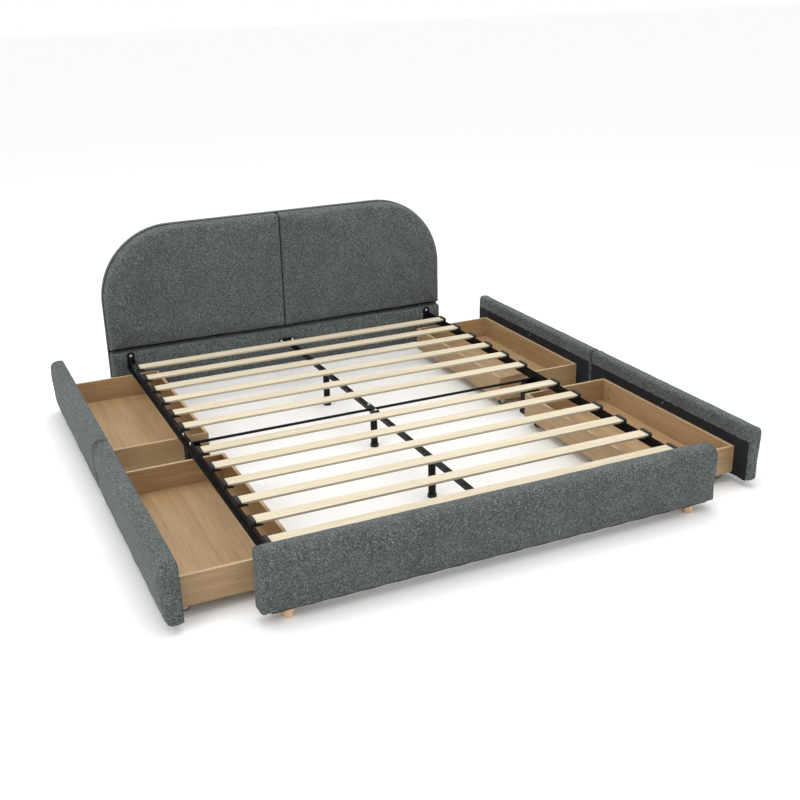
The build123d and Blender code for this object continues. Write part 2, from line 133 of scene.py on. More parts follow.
def mix(tree, factor, first, second, blend="MIX"):
    """Mix two colours, which are sockets or triples."""
    item = add(tree, "Mix", data_type="RGBA", blend_type=blend)
    for socket, value in ((item.inputs[0], factor), (item.inputs[6], first), (item.inputs[7], second)):
        if isinstance(value, bpy.types.NodeSocket):
            tree.links.new(value, socket)
        else:
            socket.default_value = (*value, 1) if isinstance(value, tuple) else value
    return item.outputs[2]


def sums(tree, operation, first, second):
    """Math node on two values or sockets."""
    return add(tree, "Math", {0: first, 1: second}, operation=operation).outputs[0]


def bump(tree, shader, height, distance, strength=1.0):
    """Surface relief from a height socket."""
    item = add(tree, "Bump", {"Height": height, "Distance": distance, "Strength": strength})
    tree.links.new(item.outputs[0], shader.inputs["Normal"])


def boucle():
    """Two-tone boucle: knobbly loops of slate yarn with pale and charcoal flecks, and painted shade in
    the hollows between the loops.
    """
    made, tree, shader = new_material("slate_boucle", 0.94, specular=0.22)
    place = mapped(tree)
    wander = add(tree, "TexNoise", {"Vector": place, "Scale": 240.0, "Detail": 2.0})
    bent = mix(tree, 0.0028, place, wander.outputs["Color"], "LINEAR_LIGHT")
    loops = add(tree, "TexVoronoi", {"Vector": bent, "Scale": 340.0, "Randomness": 0.95})
    fibres = add(tree, "TexNoise", {"Vector": place, "Scale": 900.0, "Detail": 2.0})
    yarn = add(tree, "SeparateColor", {"Color": loops.outputs["Color"]})
    clumps = add(tree, "TexNoise", {"Vector": place, "Scale": 150.0, "Detail": 3.0, "Roughness": 0.6})
    tint = sums(tree, "ADD", sums(tree, "MULTIPLY", yarn.outputs["Red"], 0.55),
                sums(tree, "MULTIPLY", clumps.outputs["Fac"], 0.45))
    flecks = ramp(tree, tint, [(0.12, (0.034, 0.040, 0.042)), (0.36, (0.076, 0.087, 0.087)),
                               (0.60, (0.122, 0.137, 0.135)), (0.86, (0.29, 0.32, 0.31))])
    shade = add(tree, "TexNoise", {"Vector": place, "Scale": 7.0, "Detail": 4.0, "Roughness": 0.6})
    cloud = ramp(tree, shade.outputs["Fac"], [(0.3, (0.86,) * 3), (0.7, (1.10,) * 3)])
    # painted shade: colour darkened towards the gaps between the yarn loops
    painted_loop_shade = ramp(tree, loops.outputs["Distance"], [(0.2, (1.0,) * 3), (0.75, (0.55,) * 3)])
    toned = mix(tree, 1.0, flecks, cloud, "MULTIPLY")
    tree.links.new(mix(tree, 1.0, toned, painted_loop_shade, "MULTIPLY"), shader.inputs["Base Color"])
    shader.inputs["Sheen Weight"].default_value = 0.08
    shader.inputs["Sheen Roughness"].default_value = 0.5
    relief = sums(tree, "ADD", sums(tree, "SUBTRACT", 1.0, loops.outputs["Distance"]),
                  sums(tree, "MULTIPLY", fibres.outputs["Fac"], 0.35))
    bump(tree, shader, relief, 0.0012, 0.8)
    return made


def grain(name, along, dark, middle, pale, roughness, streak=1.0, band=None, layers=False):
    """Wood or wood print with its grain along one axis (0, 1 or 2).

    band colours the narrow edges that face up; layers draws veneer lines on the sides."""
    made, tree, shader = new_material(name, roughness, specular=0.4)
    fine_scale, wide_scale = [130.0] * 3, [16.0] * 3
    fine_scale[along], wide_scale[along] = 3.2, 0.9
    fine = add(tree, "TexNoise", {"Vector": mapped(tree, fine_scale), "Scale": 1.0, "Detail": 5.0,
                                  "Roughness": 0.62, "Distortion": 0.3})
    wide = add(tree, "TexNoise", {"Vector": mapped(tree, wide_scale), "Scale": 1.0, "Detail": 3.0,
                                  "Distortion": 0.9})
    figure = sums(tree, "ADD", sums(tree, "MULTIPLY", fine.outputs["Fac"], 0.5),
                  sums(tree, "MULTIPLY", wide.outputs["Fac"], 0.5))
    spread = 0.16 * streak
    colour = ramp(tree, figure, [(0.5 - spread, dark), (0.5, middle), (0.5 + spread, pale)])
    pores_scale = [420.0] * 3
    pores_scale[along] = 11.0
    pores = add(tree, "TexNoise", {"Vector": mapped(tree, pores_scale), "Scale": 1.0, "Detail": 1.0})
    specks = ramp(tree, pores.outputs["Fac"], [(0.28, (0.78, 0.76, 0.72)), (0.40, (1.0, 1.0, 1.0))])
    colour = mix(tree, 1.0, colour, specks, "MULTIPLY")
    faces = add(tree, "SeparateXYZ", {0: add(tree, "NewGeometry").outputs["True Normal"]})
    if band:
        up = sums(tree, "GREATER_THAN", faces.outputs["Z"], 0.9)
        colour = mix(tree, up, colour, band)
    if layers:
        lines = add(tree, "TexWave", {"Vector": mapped(tree), "Scale": 105.0, "Distortion": 0.6,
                                      "Detail": 1.0}, bands_direction="Z")
        veneer = ramp(tree, lines.outputs["Fac"], [(0.25, tuple(0.52 * c for c in dark)),
                                                   (0.6, tuple(0.86 * c for c in middle))])
        upright = sums(tree, "LESS_THAN", sums(tree, "ABSOLUTE", faces.outputs["Z"], 0.0), 0.5)
        colour = mix(tree, upright, colour, veneer)
    tree.links.new(colour, shader.inputs["Base Color"])
    uneven = add(tree, "MapRange", {"Value": figure, "To Min": roughness - 0.08,
                                    "To Max": roughness + 0.1})
    tree.links.new(uneven.outputs[0], shader.inputs["Roughness"])
    bump(tree, shader, sums(tree, "ADD", figure, pores.outputs["Fac"]), 0.0002, 0.5)
    return made


def powder_coat(name, colour, roughness, pebble, specular=0.12, relief=0.00012):
    """Satin powder coat, or moulded plastic, with a fine pebbled skin and faint handling marks."""
    made, tree, shader = new_material(name, roughness, specular=specular)
    skin = add(tree, "TexNoise", {"Vector": mapped(tree), "Scale": pebble, "Detail": 2.0})
    marks = add(tree, "TexNoise", {"Vector": mapped(tree, (3, 3, 9)), "Scale": 14.0, "Detail": 5.0})
    tone = ramp(tree, marks.outputs["Fac"], [(0.35, tuple(0.8 * c for c in colour)),
                                             (0.75, tuple(1.35 * c for c in colour))])
    tree.links.new(tone, shader.inputs["Base Color"])
    worn = add(tree, "MapRange", {"Value": marks.outputs["Fac"], "From Min": 0.3, "From Max": 0.7,
                                  "To Min": roughness - 0.07, "To Max": roughness + 0.09})
    tree.links.new(worn.outputs[0], shader.inputs["Roughness"])
    bump(tree, shader, skin.outputs["Fac"], relief, 0.6)
    return made


def plated_steel(name, colour, roughness):
    """Zinc plate with soft spangle and fine brushing."""
    made, tree, shader = new_material(name, roughness, 1.0)
    spangle = add(tree, "TexVoronoi", {"Vector": mapped(tree), "Scale": 420.0})
    brush = add(tree, "TexNoise", {"Vector": mapped(tree, (900, 60, 900)), "Scale": 1.0, "Detail": 2.0})
    tone = ramp(tree, spangle.outputs["Distance"],
                [(0.0, colour), (0.8, tuple(0.82 * c for c in colour))])
    tree.links.new(tone, shader.inputs["Base Color"])
    rough = add(tree, "MapRange", {"Value": brush.outputs["Fac"], "To Min": roughness - 0.08,
                                   "To Max": roughness + 0.12})
    tree.links.new(rough.outputs[0], shader.inputs["Roughness"])
    bump(tree, shader, brush.outputs["Fac"], 0.00005, 0.5)
    return made


def felted_lining():
    """Black spun non-woven with pale stray fibres and pressed dimples."""
    made, tree, shader = new_material("black_nonwoven", 0.88, specular=0.25)
    fibres = add(tree, "TexNoise", {"Vector": mapped(tree, (1, 1, 1.6)), "Scale": 620.0, "Detail": 4.0,
                                    "Distortion": 2.2})
    dimples = add(tree, "TexVoronoi", {"Vector": mapped(tree), "Scale": 520.0, "Randomness": 0.15})
    tone = ramp(tree, fibres.outputs["Fac"],
                [(0.3, (0.006, 0.006, 0.008)), (0.62, (0.016, 0.016, 0.02)),
                 (0.8, (0.05, 0.05, 0.056))])
    tree.links.new(tone, shader.inputs["Base Color"])
    relief = sums(tree, "ADD", fibres.outputs["Fac"], dimples.outputs["Distance"])
    bump(tree, shader, relief, 0.0004, 0.7)
    return made


def thread():
    """Twisted slate sewing thread, a little paler than the cloth."""
    made, tree, shader = new_material("slate_thread", 0.7, specular=0.3)
    twist = add(tree, "TexNoise", {"Vector": mapped(tree), "Scale": 1400.0, "Detail": 1.0})
    tone = ramp(tree, twist.outputs["Fac"], [(0.3, (0.07, 0.08, 0.082)), (0.7, (0.17, 0.19, 0.19))])
    tree.links.new(tone, shader.inputs["Base Color"])
    bump(tree, shader, twist.outputs["Fac"], 0.0002, 0.6)
    return made


OAK_DARK, OAK_MIDDLE, OAK_PALE = (0.30, 0.185, 0.088), (0.385, 0.25, 0.127), (0.455, 0.305, 0.165)
OAK_BAND = (0.47, 0.335, 0.195)

cloth = boucle()
sewing_thread = thread()
lining_cloth = felted_lining()
print_along_bed = grain("oak_print_along_bed", 1, OAK_DARK, OAK_MIDDLE, OAK_PALE, 0.42, band=OAK_BAND)
print_along_floor = grain("oak_print_bottom", 1, OAK_DARK, OAK_MIDDLE, OAK_PALE, 0.42)
print_across_bed = grain("oak_print_across_bed", 0, OAK_DARK, OAK_MIDDLE, OAK_PALE, 0.42, band=OAK_BAND)
slat_wood = grain("laminated_poplar", 0, (0.50, 0.425, 0.30), (0.60, 0.525, 0.385),
                  (0.68, 0.605, 0.465), 0.55, streak=1.3, layers=True)
foot_wood = grain("lacquered_beech", 2, (0.50, 0.32, 0.19), (0.62, 0.42, 0.26),
                  (0.70, 0.50, 0.33), 0.45)
plywood = grain("raw_plywood", 0, (0.34, 0.24, 0.14), (0.44, 0.32, 0.19), (0.52, 0.40, 0.25), 0.7)
black_steel = powder_coat("black_powder_coat", (0.0065, 0.0065, 0.008), 0.42, 900.0)
black_plastic = powder_coat("black_moulded_plastic", (0.010, 0.010, 0.011), 0.5, 1500.0, 0.3, 0.00008)
zinc = plated_steel("bright_zinc", (0.74, 0.74, 0.73), 0.28)
caster_steel = plated_steel("caster_zinc", (0.56, 0.57, 0.59), 0.36)
tyre = powder_coat("black_tyre", (0.014, 0.014, 0.015), 0.55, 1100.0)
nylon = powder_coat("white_nylon_hub", (0.62, 0.62, 0.60), 0.4, 800.0, 0.4)


# ---------------------------------------------------------------- making pieces
def finish_piece(piece, body, material, replaced=()):
    """Give a finished piece its material, its body and the nodes that it stands for."""
    piece.data.materials.clear()
    piece.data.materials.append(material)
    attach(piece, body)
    if replaced:
        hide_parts(*replaced)
    return piece


def use(piece):
    """Make a piece the only selected one, and the active one."""
    if bpy.context.object and bpy.context.object.mode != "OBJECT":
        bpy.ops.object.mode_set(mode="OBJECT")
    bpy.ops.object.select_all(action="DESELECT")
    piece.select_set(True)
    bpy.context.view_layer.objects.active = piece


def settle():
    """Put the active piece's place, turn and size into its mesh."""
    bpy.ops.object.transform_apply(location=True, rotation=True, scale=True)


def block(name, low, high):
    """Box between two corners, to be shaped further."""
    bpy.ops.object.select_all(action="DESELECT")
    low, high = Vector(low), Vector(high)
    bpy.ops.mesh.primitive_cube_add(size=1, location=(low + high) / 2, scale=high - low)
    piece = bpy.context.object
    piece.name = name
    settle()
    return piece


def rod(name, radius, depth, centre, sides=24, turn=(0, 0, 0), top_radius=None):
    """Cylinder or cone, to be shaped further."""
    bpy.ops.object.select_all(action="DESELECT")
    top = radius if top_radius is None else top_radius
    bpy.ops.mesh.primitive_cone_add(vertices=sides, radius1=radius, radius2=top, depth=depth,
                                    location=centre, rotation=turn)
    piece = bpy.context.object
    piece.name = name
    settle()
    return piece


def pick(piece, kind, passes):
    """In edit mode, select only the faces, edges or vertices that pass a test."""
    use(piece)
    bpy.ops.object.mode_set(mode="EDIT")
    bpy.ops.mesh.select_mode(type=kind)
    bpy.ops.mesh.select_all(action="DESELECT")
    shape = bmesh.from_edit_mesh(piece.data)
    items = {"FACE": shape.faces, "EDGE": shape.edges, "VERT": shape.verts}[kind]
    for item in items:
        if passes(item):
            item.select_set(True)
    shape.select_flush_mode()
    bmesh.update_edit_mesh(piece.data)


def done():
    """Back to object mode."""
    bpy.ops.object.mode_set(mode="OBJECT")


def middle(edge):
    return (edge.verts[0].co + edge.verts[1].co) / 2


def runs_along(edge, axis):
    """True if an edge is parallel to an axis."""
    run = edge.verts[1].co - edge.verts[0].co
    return abs(run[axis]) > 0.99 * run.length


def bevel_edges(piece, passes, width, segments):
    """Round the edges that pass a test."""
    pick(piece, "EDGE", passes)
    bpy.ops.mesh.bevel(offset=width, segments=segments, affect="EDGES", clamp_overlap=False)
    done()


def cut_at(piece, place, normal):
    """Cut new edges all round a piece where a plane meets it."""
    use(piece)
    bpy.ops.object.mode_set(mode="EDIT")
    bpy.ops.mesh.select_all(action="SELECT")
    bpy.ops.mesh.bisect(plane_co=place, plane_no=normal)
    done()


def modify(piece, kind, **settings):
    """Apply one modifier."""
    use(piece)
    added = piece.modifiers.new(kind.title(), kind)
    for name, value in settings.items():
        setattr(added, name, value)
    bpy.ops.object.modifier_apply(modifier=added.name)


def points(piece):
    """The piece's vertices as an array."""
    flat = np.zeros(len(piece.data.vertices) * 3)
    piece.data.vertices.foreach_get("co", flat)
    return flat.reshape(-1, 3)


def set_points(piece, places):
    piece.data.vertices.foreach_set("co", places.ravel())
    piece.data.update()


def normals(piece):
    flat = np.zeros(len(piece.data.vertices) * 3)
    piece.data.vertices.foreach_get("normal", flat)
    return flat.reshape(-1, 3)


def smooth(piece, angle=None):
    """Shade smooth, all over or up to an angle."""
    use(piece)
    if angle is None:
        bpy.ops.object.shade_smooth()
    else:
        bpy.ops.object.shade_smooth_by_angle(angle=math.radians(angle))


def twin(piece, name, place):
    """Copy of a piece with its own mesh, carried by a matrix."""
    copied = piece.copy()
    copied.data = piece.data.copy()
    copied.name = name
    bpy.context.scene.collection.objects.link(copied)
    copied.data.transform(place)
    if place.determinant() < 0:
        copied.data.flip_normals()
    return copied


def joined(pieces, name):
    """Join pieces into the first of them."""
    use(pieces[0])
    for piece in pieces[1:]:
        piece.select_set(True)
    bpy.ops.object.join()
    pieces[0].name = name
    return pieces[0]


def discard(piece):
    bpy.data.objects.remove(piece)


def solids(node):
    """(low, high) of each separate solid in a CAD node, in a steady order."""
    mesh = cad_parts[node].data
    owner, keys = {}, []

    def root(key):
        while owner[key] != key:
            owner[key] = owner[owner[key]]
            key = owner[key]
        return key

    for vertex in mesh.vertices:
        key = tuple(round(c, 5) for c in vertex.co)
        owner.setdefault(key, key)
        keys.append(key)
    for face in mesh.polygons:
        first = root(keys[face.vertices[0]])
        for other in face.vertices[1:]:
            owner[root(keys[other])] = first
    groups = {}
    for key in owner:
        groups.setdefault(root(key), []).append(key)
    found = [(Vector(np.min(g, axis=0)), Vector(np.max(g, axis=0))) for g in groups.values()]
    return sorted(found, key=lambda pair: tuple(round(c, 3) for c in (pair[0] + pair[1]) / 2))


# ---------------------------------------------------------------- upholstery
def stuff(piece, held, most):
    """Remesh a closed shape, blow it up gently as cloth with some points held, and smooth it."""
    modify(piece, "REMESH", mode="VOXEL", voxel_size=VOXEL, adaptivity=0.0)
    rest = points(piece)
    group = piece.vertex_groups.new(name="held")
    group.add([i for i, p in enumerate(rest) if held(p)], 1.0, "REPLACE")
    fill = piece.modifiers.new("Cloth", "CLOTH")
    fill.settings.quality = 4
    fill.settings.use_pressure = True
    fill.settings.uniform_pressure_force = PRESSURE
    fill.settings.vertex_group_mass = "held"
    fill.settings.effector_weights.gravity = 0
    fill.point_cache.frame_start = 1
    fill.point_cache.frame_end = SIM_FRAMES
    for moment in range(1, SIM_FRAMES + 1):
        bpy.context.scene.frame_set(moment)
    use(piece)
    bpy.ops.object.modifier_apply(modifier="Cloth")
    move = points(piece) - rest
    length = np.linalg.norm(move, axis=1, keepdims=True) + 1e-9
    set_points(piece, rest + move / length * most * np.tanh(length / most))
    piece.vertex_groups.clear()
    bpy.context.scene.frame_set(1)
    modify(piece, "SUBSURF", levels=1, render_levels=1)


def soften(piece, amount, wave, fixed):
    """Slight unevenness of hand-pulled cloth over foam, leaving the fixed points alone."""
    places, outward = points(piece), normals(piece)
    for i, place in enumerate(places):
        if not fixed(place):
            lump = noise.noise(Vector(place) / wave) + 0.5 * noise.noise(Vector(place) * 2.3 / wave)
            places[i] = place + outward[i] * amount * lump
    set_points(piece, places)


def keep_inside(piece, low, high):
    """Stop the stuffing at planes that other pieces need."""
    set_points(piece, np.clip(points(piece), low, high))


def sewn_seam(piece, place, normal, touches):
    """Cut loops round a piece at a plane and draw the middle one in, as a sewn seam does."""
    place, normal = Vector(place), Vector(normal)
    for step in (-1, 0, 1):
        cut_at(piece, place + step * SEAM_HALF_WIDTH * normal, normal)
    places, outward = points(piece), normals(piece)
    offset = np.abs((places - np.array(place)) @ np.array(normal))
    on_seam = (offset < SEAM_HALF_WIDTH * 0.6) & np.array([touches(p) for p in places])
    depth = SEAM_DEPTH * (1 - offset / (SEAM_HALF_WIDTH * 0.6)) * on_seam
    set_points(piece, places - outward * depth[:, None])


def stitch_row(piece, centre, spin_axis, first, last, name):
    """Row of short stitches on a piece, found by looking outwards from a centre.

    The look turns about an axis, from one angle to another in degrees."""
    bpy.context.view_layer.update()
    spots = []
    for step in range(400):
        angle = math.radians(first + (last - first) * step / 399)
        way = Matrix.Rotation(angle, 3, spin_axis) @ Vector((0, 0, 1))
        hit, place, facing, _ = piece.ray_cast(centre, way)
        if hit:
            spots.append((place, facing if facing.dot(way) > 0 else -facing))
    made, travelled = [], STITCH_PITCH
    for (here, facing), (before, _) in zip(spots[1:], spots):
        travelled += (here - before).length
        if travelled >= STITCH_PITCH:
            along = (here - before).normalized()
            side = facing.cross(along).normalized()
            turn = Matrix((along, side, along.cross(side))).transposed().to_4x4()
            place = Matrix.Translation(here - facing * STITCH_RADIUS * 0.3) @ turn
            made.append(twin(stitch_model, "stitch", place))
            travelled = 0.0
    return joined(made, name)


def make_stitch():
    """One stitch along X: a six-sided thread that tapers into the cloth at both ends."""
    piece = rod("stitch_model", STITCH_RADIUS, STITCH_LENGTH * 0.6, (0, 0, 0), 6, (0, math.pi / 2, 0))
    for end in (-1, 1):
        pick(piece, "FACE", lambda f: f.normal.x * end > 0.9)
        bpy.ops.mesh.extrude_region_move(
            TRANSFORM_OT_translate={"value": (end * STITCH_LENGTH * 0.2, 0, -STITCH_RADIUS * 0.5)})
        bpy.ops.transform.resize(value=(1, 0.45, 0.45))
        done()
    smooth(piece)
    return piece


def headboard_cushion():
    """Left cushion: a half headboard with one large corner, crowned, held flat at its back."""
    low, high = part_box("headboard_cushion_left")
    gap = 0.0016
    shrink = 0.002
    piece = block("left_cushion", (low.x + shrink, low.y + 0.006, low.z + shrink),
                  (high.x - gap, high.y, high.z - shrink))
    bevel_edges(piece, lambda e: runs_along(e, 1) and middle(e).x < (low.x + high.x) / 2
                and middle(e).z > (low.z + high.z) / 2, HEADBOARD_CORNER - shrink, 20)
    front = low.y + 0.007
    seam = high.x - gap - 0.001
    bevel_edges(piece, lambda e: max(v.co.y for v in e.verts) < front
                and min(v.co.x for v in e.verts) < seam, CUSHION_EDGE, 4)
    bevel_edges(piece, lambda e: max(v.co.y for v in e.verts) < front
                and min(v.co.x for v in e.verts) >= seam, 0.009, 3)
    stuff(piece, lambda p: p[1] > high.y - 0.02 or p[0] > seam - 0.004, 0.007)
    soften(piece, 0.0014, 0.13, lambda p: p[1] > high.y - 0.012 or p[0] > seam - 0.010)
    keep_inside(piece, (low.x - 0.001, low.y - 0.002, low.z),
                (high.x - gap / 2, high.y, high.z + 0.001))
    smooth(piece)
    return piece


def headboard():
    """Two cushions, a lower panel and the cloth that wraps the board."""
    left = headboard_cushion()
    right = twin(left, "right_cushion", Matrix.Scale(-1, 4, (1, 0, 0)))
    for piece, node in ((left, "headboard_cushion_left"), (right, "headboard_cushion_right")):
        finish_piece(piece, "bed_frame", cloth, (node,))

    low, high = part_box("headboard_lower_panel")
    panel = block("lower_panel", (low.x + 0.002, low.y + 0.0035, low.z),
                  (high.x - 0.002, high.y, high.z - 0.002))
    bevel_edges(panel, lambda e: runs_along(e, 2) and middle(e).y < high.y - 0.01, 0.010, 3)
    bevel_edges(panel, lambda e: middle(e).z > high.z - 0.003 and middle(e).y < high.y - 0.01, 0.006, 2)
    stuff(panel, lambda p: p[1] > high.y - 0.015 or p[2] < low.z + 0.006, 0.004)
    soften(panel, 0.0010, 0.10, lambda p: p[1] > high.y - 0.01)
    keep_inside(panel, (low.x, low.y, low.z), (high.x, high.y, high.z))
    smooth(panel)
    finish_piece(panel, "bed_frame", cloth, ("headboard_lower_panel",))

    low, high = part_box("headboard_cover")
    wrap = block("headboard_back_cloth", low, high)
    bevel_edges(wrap, lambda e: runs_along(e, 1) and middle(e).z > 0.5, HEADBOARD_CORNER, 24)
    pick(wrap, "FACE", lambda f: f.normal.y < -0.9 or f.normal.z < -0.9)
    bpy.ops.mesh.delete(type="FACE")
    done()
    bevel_edges(wrap, lambda e: min(v.co.y for v in e.verts) > high.y - 0.001
                and not e.is_boundary, 0.004, 3)
    modify(wrap, "SOLIDIFY", thickness=COVER_THICKNESS, offset=-1.0)
    smooth(wrap, 40)
    finish_piece(wrap, "bed_frame", cloth, ("headboard_cover",))


def padded_bar(name, length, base, top, base_depth, full_depth):
    """Padded panel along X with its flat side on y = 0 and its full side towards -Y."""
    outer_round, inner_round = 0.5 * full_depth, 0.27 * full_depth
    straight = length / 2 - END_ROUND
    piece = block(name, (-straight, -full_depth, base), (straight, 0, top))
    fullest = top - outer_round
    for share in (0.35, 0.7):
        cut_at(piece, (0, 0, base + share * (fullest - base)), (0, 0, 1))
    places = points(piece)
    outside = places[:, 1] < -full_depth + 0.001
    rise = np.clip((places[:, 2] - base) / (fullest - base), 0, 1)
    draw_in = (full_depth - base_depth) * (1 - rise) ** 1.6
    places[:, 1] += np.where(outside, draw_in, 0)
    set_points(piece, places)
    bevel_edges(piece, lambda e: runs_along(e, 0) and middle(e).z > top - 0.001
                and middle(e).y < -0.001, outer_round, 7)
    bevel_edges(piece, lambda e: runs_along(e, 0) and middle(e).z > top - 0.001
                and middle(e).y > -0.001, inner_round, 4)
    bevel_edges(piece, lambda e: runs_along(e, 0) and middle(e).z < base + 0.001
                and middle(e).y < -0.001, 0.006, 2)
    for end in (-1, 1):
        pick(piece, "FACE", lambda f: f.normal.x * end > 0.99)
        for step in range(END_STEPS):
            before, after = (math.radians(90 * k / END_STEPS) for k in (step, step + 1))
            run = END_ROUND * (math.sin(after) - math.sin(before))
            bpy.ops.mesh.extrude_region_move(TRANSFORM_OT_translate={"value": (end * run, 0, 0)})
            drop_before, drop_after = (END_ROUND * (1 - math.cos(a)) for a in (before, after))
            shrink = [(size - drop_after) / (size - drop_before) for size in (full_depth, top - base)]
            bpy.ops.transform.resize(value=(1, *shrink), center_override=(0, 0, base))
        done()
    return piece


def stuffed_bar(name, length, base, top, base_depth, full_depth, most, seam_inset):
    """Padded bar with its foam filled out and sewn end seams; returns it and its stitches."""
    piece = padded_bar(name, length, base + 0.0012, top - 0.003, base_depth - 0.002,
                       full_depth - 0.004)
    stuff(piece, lambda p: p[1] > -0.007 or p[2] < base + 0.008, most)
    soften(piece, 0.0013, 0.075, lambda p: p[1] > -0.004 or p[2] < base + 0.004)
    keep_inside(piece, (-length / 2, -full_depth - 0.003, base + 0.0006),
                (length / 2, -0.0003, top + 0.002))
    rows = []
    centre_z = (base + top) / 2
    for end in (-1, 1):
        seam_x = end * (length / 2 - seam_inset)
        sewn_seam(piece, (seam_x, 0, 0), (1, 0, 0), lambda p: p[1] < -0.004)
        centre = Vector((seam_x - end * STITCH_OFFSET, -0.42 * full_depth, centre_z))
        rows.append(stitch_row(piece, centre, "X", 30, -205, name + "_stitches"))
    smooth(piece)
    return piece, joined(rows, name + "_stitches")


def footboard():
    """Footboard with its stitches and the black dust cover under it."""
    low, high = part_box("footboard_cover")
    depth = high.y - low.y
    bar, stitches = stuffed_bar("footboard_model", high.x - low.x, low.z, high.z, depth - BAR_TAPER,
                                depth, most=0.006, seam_inset=0.022)
    place = Matrix.Translation((0, high.y, 0))
    cover = twin(bar, "footboard_padding", place)
    finish_piece(cover, "bed_frame", cloth, ("footboard_cover",))
    finish_piece(twin(stitches, "footboard_stitches", place), "bed_frame", sewing_thread)
    discard(bar)
    discard(stitches)

    inset, under = DUST_INSET, low.z - LINING_THICKNESS / 2
    sheet_low = (low.x + inset + 0.02, high.y - (depth - BAR_TAPER) + inset / 2, under)
    sheet_high = (high.x - inset - 0.02, high.y - inset / 2, under + LINING_THICKNESS)
    dust_cover = tacked_sheet("footboard_dust_cover", sheet_low, sheet_high, 2, 96, 6)
    finish_piece(dust_cover, "bed_frame", lining_cloth)


def tacked_sheet(name, low, high, thin_axis, long_cuts, short_cuts):
    """Thin sheet stretched flat between two corners, with the faint puckers that tacks leave."""
    low, high = Vector(low), Vector(high)
    size = high - low
    long_axis, short_axis = sorted((k for k in range(3) if k != thin_axis), key=lambda k: -size[k])
    piece = block(name, low, high)
    for axis, cuts in ((long_axis, long_cuts), (short_axis, short_cuts)):
        direction = Vector((0, 0, 0))
        direction[axis] = 1
        for cut in range(1, cuts):
            spot = low.copy()
            spot[axis] += size[axis] * cut / cuts
            cut_at(piece, spot, direction)
    places = points(piece)
    along = (places[:, long_axis] - low[long_axis]) / size[long_axis]
    to_edge = np.abs((places[:, short_axis] - low[short_axis]) / size[short_axis] - 0.5) * 2
    pucker = 0.00035 * np.sin(along * 2 * math.pi * 16) * to_edge ** 2
    places[:, short_axis] += pucker * 3 * np.sign(places[:, short_axis] - (low + high)[short_axis] / 2)
    set_points(piece, places)
    smooth(piece, 40)
    return piece


def drawer_fronts():
    """One drawer front is stuffed and sewn, and its copies go to the four drawers."""
    low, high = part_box("drawer_right_foot_front")
    length, depth = high.y - low.y, high.x - low.x
    bar, stitches = stuffed_bar("front_model", length, low.z, high.z, depth - BAR_TAPER,
                                depth, most=0.005, seam_inset=0.020)
    turn = Matrix.Rotation(math.pi / 2, 4, "Z")
    for name in DRAWERS:
        side = drawer_side(name)
        body = "drawer_" + name
        low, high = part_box(body + "_front")
        inner_x = low.x if side > 0 else high.x
        flip = Matrix.Scale(side, 4, (1, 0, 0))
        place = Matrix.Translation((inner_x, (low.y + high.y) / 2, 0)) @ flip @ turn
        front = twin(bar, body + "_padding", place)
        finish_piece(front, body, cloth, (body + "_front",))
        finish_piece(twin(stitches, body + "_stitches", place), body, sewing_thread)

        low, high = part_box(body + "_lining")
        lining = tacked_sheet(body + "_lining_cloth", low, high, 0, 60, 4)
        finish_piece(lining, body, lining_cloth, (body + "_lining",))
    discard(bar)
    discard(stitches)


# ---------------------------------------------------------------- small hardware
def bolt_model():
    """Domed bolt head with a hexagon socket, seated on z = 0, over a thin washer."""
    head = rod("bolt_model", BOLT_RADIUS * 0.86, BOLT_HEIGHT - WASHER,
               (0, 0, (BOLT_HEIGHT + WASHER) / 2), 28)
    bevel_edges(head, lambda e: middle(e).z > BOLT_HEIGHT - 1e-5 and e.calc_length() < 0.003,
                0.0022, 4)
    key = rod("key", 0.0028, 0.005, (0, 0, BOLT_HEIGHT + 0.0009), 6)
    modify(head, "BOOLEAN", object=key, operation="DIFFERENCE", solver="EXACT")
    discard(key)
    washer = rod("washer", BOLT_RADIUS, WASHER, (0, 0, WASHER / 2), 28)
    bevel_edges(washer, lambda e: middle(e).z > 0.0007 and e.calc_length() < 0.003, 0.0003, 2)
    piece = joined([head, washer], "bolt_model")
    smooth(piece, 35)
    return piece


def bolts():
    """Bolts on the beam stand up, those on the rails face outwards, those on the brackets inwards."""
    model = bolt_model()
    for number, (low, high) in enumerate(solids("bolts"), 1):
        seat = (low + high) / 2
        size = high - low
        if size.z < 2 * BOLT_RADIUS - 0.001:
            seat.z = high.z - BOLT_HEIGHT
            turn = Matrix.Identity(4)
        elif size.y < 2 * BOLT_RADIUS - 0.001:
            away = -1 if seat.y > 0 else 1
            seat.y = low.y + BOLT_HEIGHT if away < 0 else high.y - BOLT_HEIGHT
            turn = Matrix.Rotation(-away * math.pi / 2, 4, "X")
        else:
            side = 1 if seat.x > 0 else -1
            seat.x = high.x - BOLT_HEIGHT if side > 0 else low.x + BOLT_HEIGHT
            turn = Matrix.Rotation(side * math.pi / 2, 4, "Y")
        piece = twin(model, f"bolt_{number}", Matrix.Translation(seat) @ turn)
        finish_piece(piece, "bed_frame", zinc, ("bolts",) if number == 1 else ())
    discard(model)


